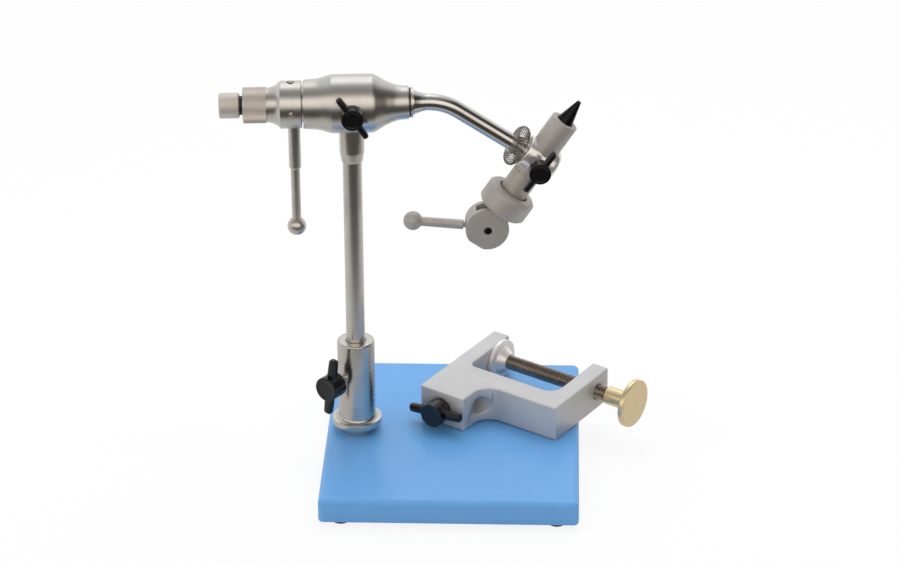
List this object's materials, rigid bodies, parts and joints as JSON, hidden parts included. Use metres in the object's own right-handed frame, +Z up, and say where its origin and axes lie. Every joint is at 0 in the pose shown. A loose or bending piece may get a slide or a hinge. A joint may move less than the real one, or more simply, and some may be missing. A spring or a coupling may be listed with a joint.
{
  "type": "fly tying vise",
  "caption": "Rotary fly tying vise with cam lever jaws on a bent arm, steel stem in a blue pedestal base, and its C clamp for table mounting lying on the plate.",
  "frame": {"origin": "on the bench, under the middle of the object's overall box at rest", "axes": "+X to the right along the rotary head towards the jaws, +Y away from the person tying, +Z up"},
  "size_m": [0.2152, 0.148, 0.212],
  "materials": {
    "plate": "sky blue powder coat",
    "foot_rubber": "matt",
    "polished_steel": "polished stainless steel",
    "satin_steel": "satin stainless steel",
    "blasted_steel": "bead blasted, matt grey",
    "dark_steel": "dark, lightly oiled",
    "spring_steel": "bright drawn wire",
    "bronze": "sintered bronze",
    "nylon": "matt black nylon",
    "knob_plastic": "moulded black plastic, half gloss",
    "jaw_steel": "blackened tool steel",
    "cast_alloy": "satin, light grey",
    "brass": "turned, satin"
  },
  "bodies": {
    "base": {"base_plate": "plate", "rubber_feet": "foot_rubber", "socket_tube": "polished_steel", "socket_bolt": "dark_steel"},
    "socket_lock": {"socket_knob": "knob_plastic", "socket_stud": "satin_steel"},
    "column": {"stem": "satin_steel"},
    "head": {"stem_ferrule": "satin_steel", "housing": "satin_steel", "front_bushing": "bronze", "rear_bushing": "bronze"},
    "head_lock": {"head_knob": "knob_plastic", "head_stud": "satin_steel"},
    "rotor": {"rotary_shaft": "satin_steel", "rear_washer": "satin_steel", "front_washer": "nylon", "front_ring": "satin_steel", "rotary_hub": "satin_steel", "hub_grub_screws": "dark_steel", "crank_rod": "satin_steel", "crank_ball": "satin_steel", "drag_bush": "nylon", "spring_washers": "spring_steel", "arm": "polished_steel", "arm_eye": "polished_steel", "material_spring": "spring_steel"},
    "tension": {"tension_knob": "satin_steel"},
    "jaw_lock": {"jaw_knob": "knob_plastic", "jaw_stud": "satin_steel"},
    "jaw_barrel": {"jaw_tube": "blasted_steel", "return_spring": "spring_steel"},
    "nut": {"adjusting_nut": "blasted_steel"},
    "puller": {"draw_rod": "satin_steel"},
    "cam_lever": {"cam": "blasted_steel", "cam_pin": "dark_steel", "lever_rod": "blasted_steel", "lever_ball": "blasted_steel"},
    "jaw_front": {"front_jaw": "jaw_steel"},
    "jaw_rear": {"rear_jaw": "jaw_steel"},
    "table_clamp": {"clamp_frame": "cast_alloy"},
    "clamp_lock": {"clamp_lock_knob": "knob_plastic", "clamp_lock_stud": "satin_steel"},
    "pad": {"clamp_pad": "polished_steel"},
    "clamp_spindle": {"clamp_screw": "dark_steel", "clamp_knob": "brass"}
  },
  "joints": [
    {"name": "socket_screw_turn", "type": "hinge", "parent": "base", "child": "socket_lock", "pos_m": [-0.04245, 0.001, 0.0481], "axis": [-0.5736, -0.8192, 0], "range_deg": [0, 360]},
    {"name": "stem_lift", "type": "slide", "parent": "base", "child": "column", "axis": [0, 0, 1], "range_m": [0, 0.03]},
    {"name": "head_swivel", "type": "hinge", "parent": "column", "child": "head", "pos_m": [-0.04245, 0.001, 0.1975], "axis": [0, 0, 1], "continuous": true},
    {"name": "head_screw_turn", "type": "hinge", "parent": "head", "child": "head_lock", "pos_m": [-0.04195, 0.00103, 0.1975], "axis": [0.0698, -0.9976, 0], "range_deg": [0, 360]},
    {"name": "rotary", "type": "hinge", "parent": "head", "child": "rotor", "pos_m": [-0.04245, 0.001, 0.1975], "axis": [0.9976, 0.0698, 0], "continuous": true},
    {"name": "tension_turn", "type": "hinge", "parent": "rotor", "child": "tension", "pos_m": [-0.1023, -0.00319, 0.1975], "axis": [-0.9976, -0.0698, 0], "range_deg": [-180, 180]},
    {"name": "jaw_screw_turn", "type": "hinge", "parent": "rotor", "child": "jaw_lock", "pos_m": [0.04963, 0.00744, 0.16613], "axis": [0.0698, -0.9976, 0], "range_deg": [0, 360]},
    {"name": "jaw_height", "type": "slide", "parent": "rotor", "child": "jaw_barrel", "axis": [0.5578, 0.039, 0.829], "range_m": [-0.012, 0.01]},
    {"name": "nut_turn", "type": "hinge", "parent": "jaw_barrel", "child": "nut", "pos_m": [0.0247, 0.0057, 0.12907], "axis": [0.5578, 0.039, 0.829], "range_deg": [-180, 180]},
    {"name": "jaw_draw", "type": "slide", "parent": "jaw_barrel", "child": "puller", "axis": [0.5578, 0.039, 0.829], "range_m": [0, 0.0012]},
    {"name": "cam_turn", "type": "hinge", "parent": "puller", "child": "cam_lever", "pos_m": [0.0247, 0.0057, 0.12907], "axis": [0.0698, -0.9976, 0], "range_deg": [0, 120]},
    {"name": "front_jaw_open", "type": "hinge", "parent": "puller", "child": "jaw_front", "pos_m": [0.0505, 0.0075, 0.16741], "axis": [0.827, 0.0578, -0.5592], "range_deg": [0, 0.95]},
    {"name": "rear_jaw_open", "type": "hinge", "parent": "puller", "child": "jaw_rear", "pos_m": [0.0505, 0.0075, 0.16741], "axis": [0.827, 0.0578, -0.5592], "range_deg": [-0.95, 0]},
    {"name": "clamp_away", "type": "slide", "parent": "base", "child": "table_clamp", "axis": [1, 0, 0], "range_m": [0, 0.09]},
    {"name": "clamp_screw_lock_turn", "type": "hinge", "parent": "table_clamp", "child": "clamp_lock", "pos_m": [0.00092, 0.00496, 0.02492], "axis": [-0.5416, -0.84, -0.0314], "range_deg": [-18, 10]},
    {"name": "pad_feed", "type": "slide", "parent": "table_clamp", "child": "pad", "axis": [0.8406, -0.5415, -0.0132], "range_m": [0, 0.0381]},
    {"name": "spindle_turn", "type": "hinge", "parent": "pad", "child": "clamp_spindle", "pos_m": [0.04465, 0.04694, 0.02659], "axis": [0.8406, -0.5415, -0.0132], "range_deg": [0, 10800]}
  ],
  "couplings": [
    {"joint": "cam_turn", "follows": "jaw_draw", "rad_per_m": 1745},
    {"joint": "front_jaw_open", "follows": "jaw_draw", "rad_per_m": 13.09},
    {"joint": "rear_jaw_open", "follows": "jaw_draw", "rad_per_m": -13.09},
    {"joint": "spindle_turn", "follows": "pad_feed", "rad_per_m": 4947}
  ]
}
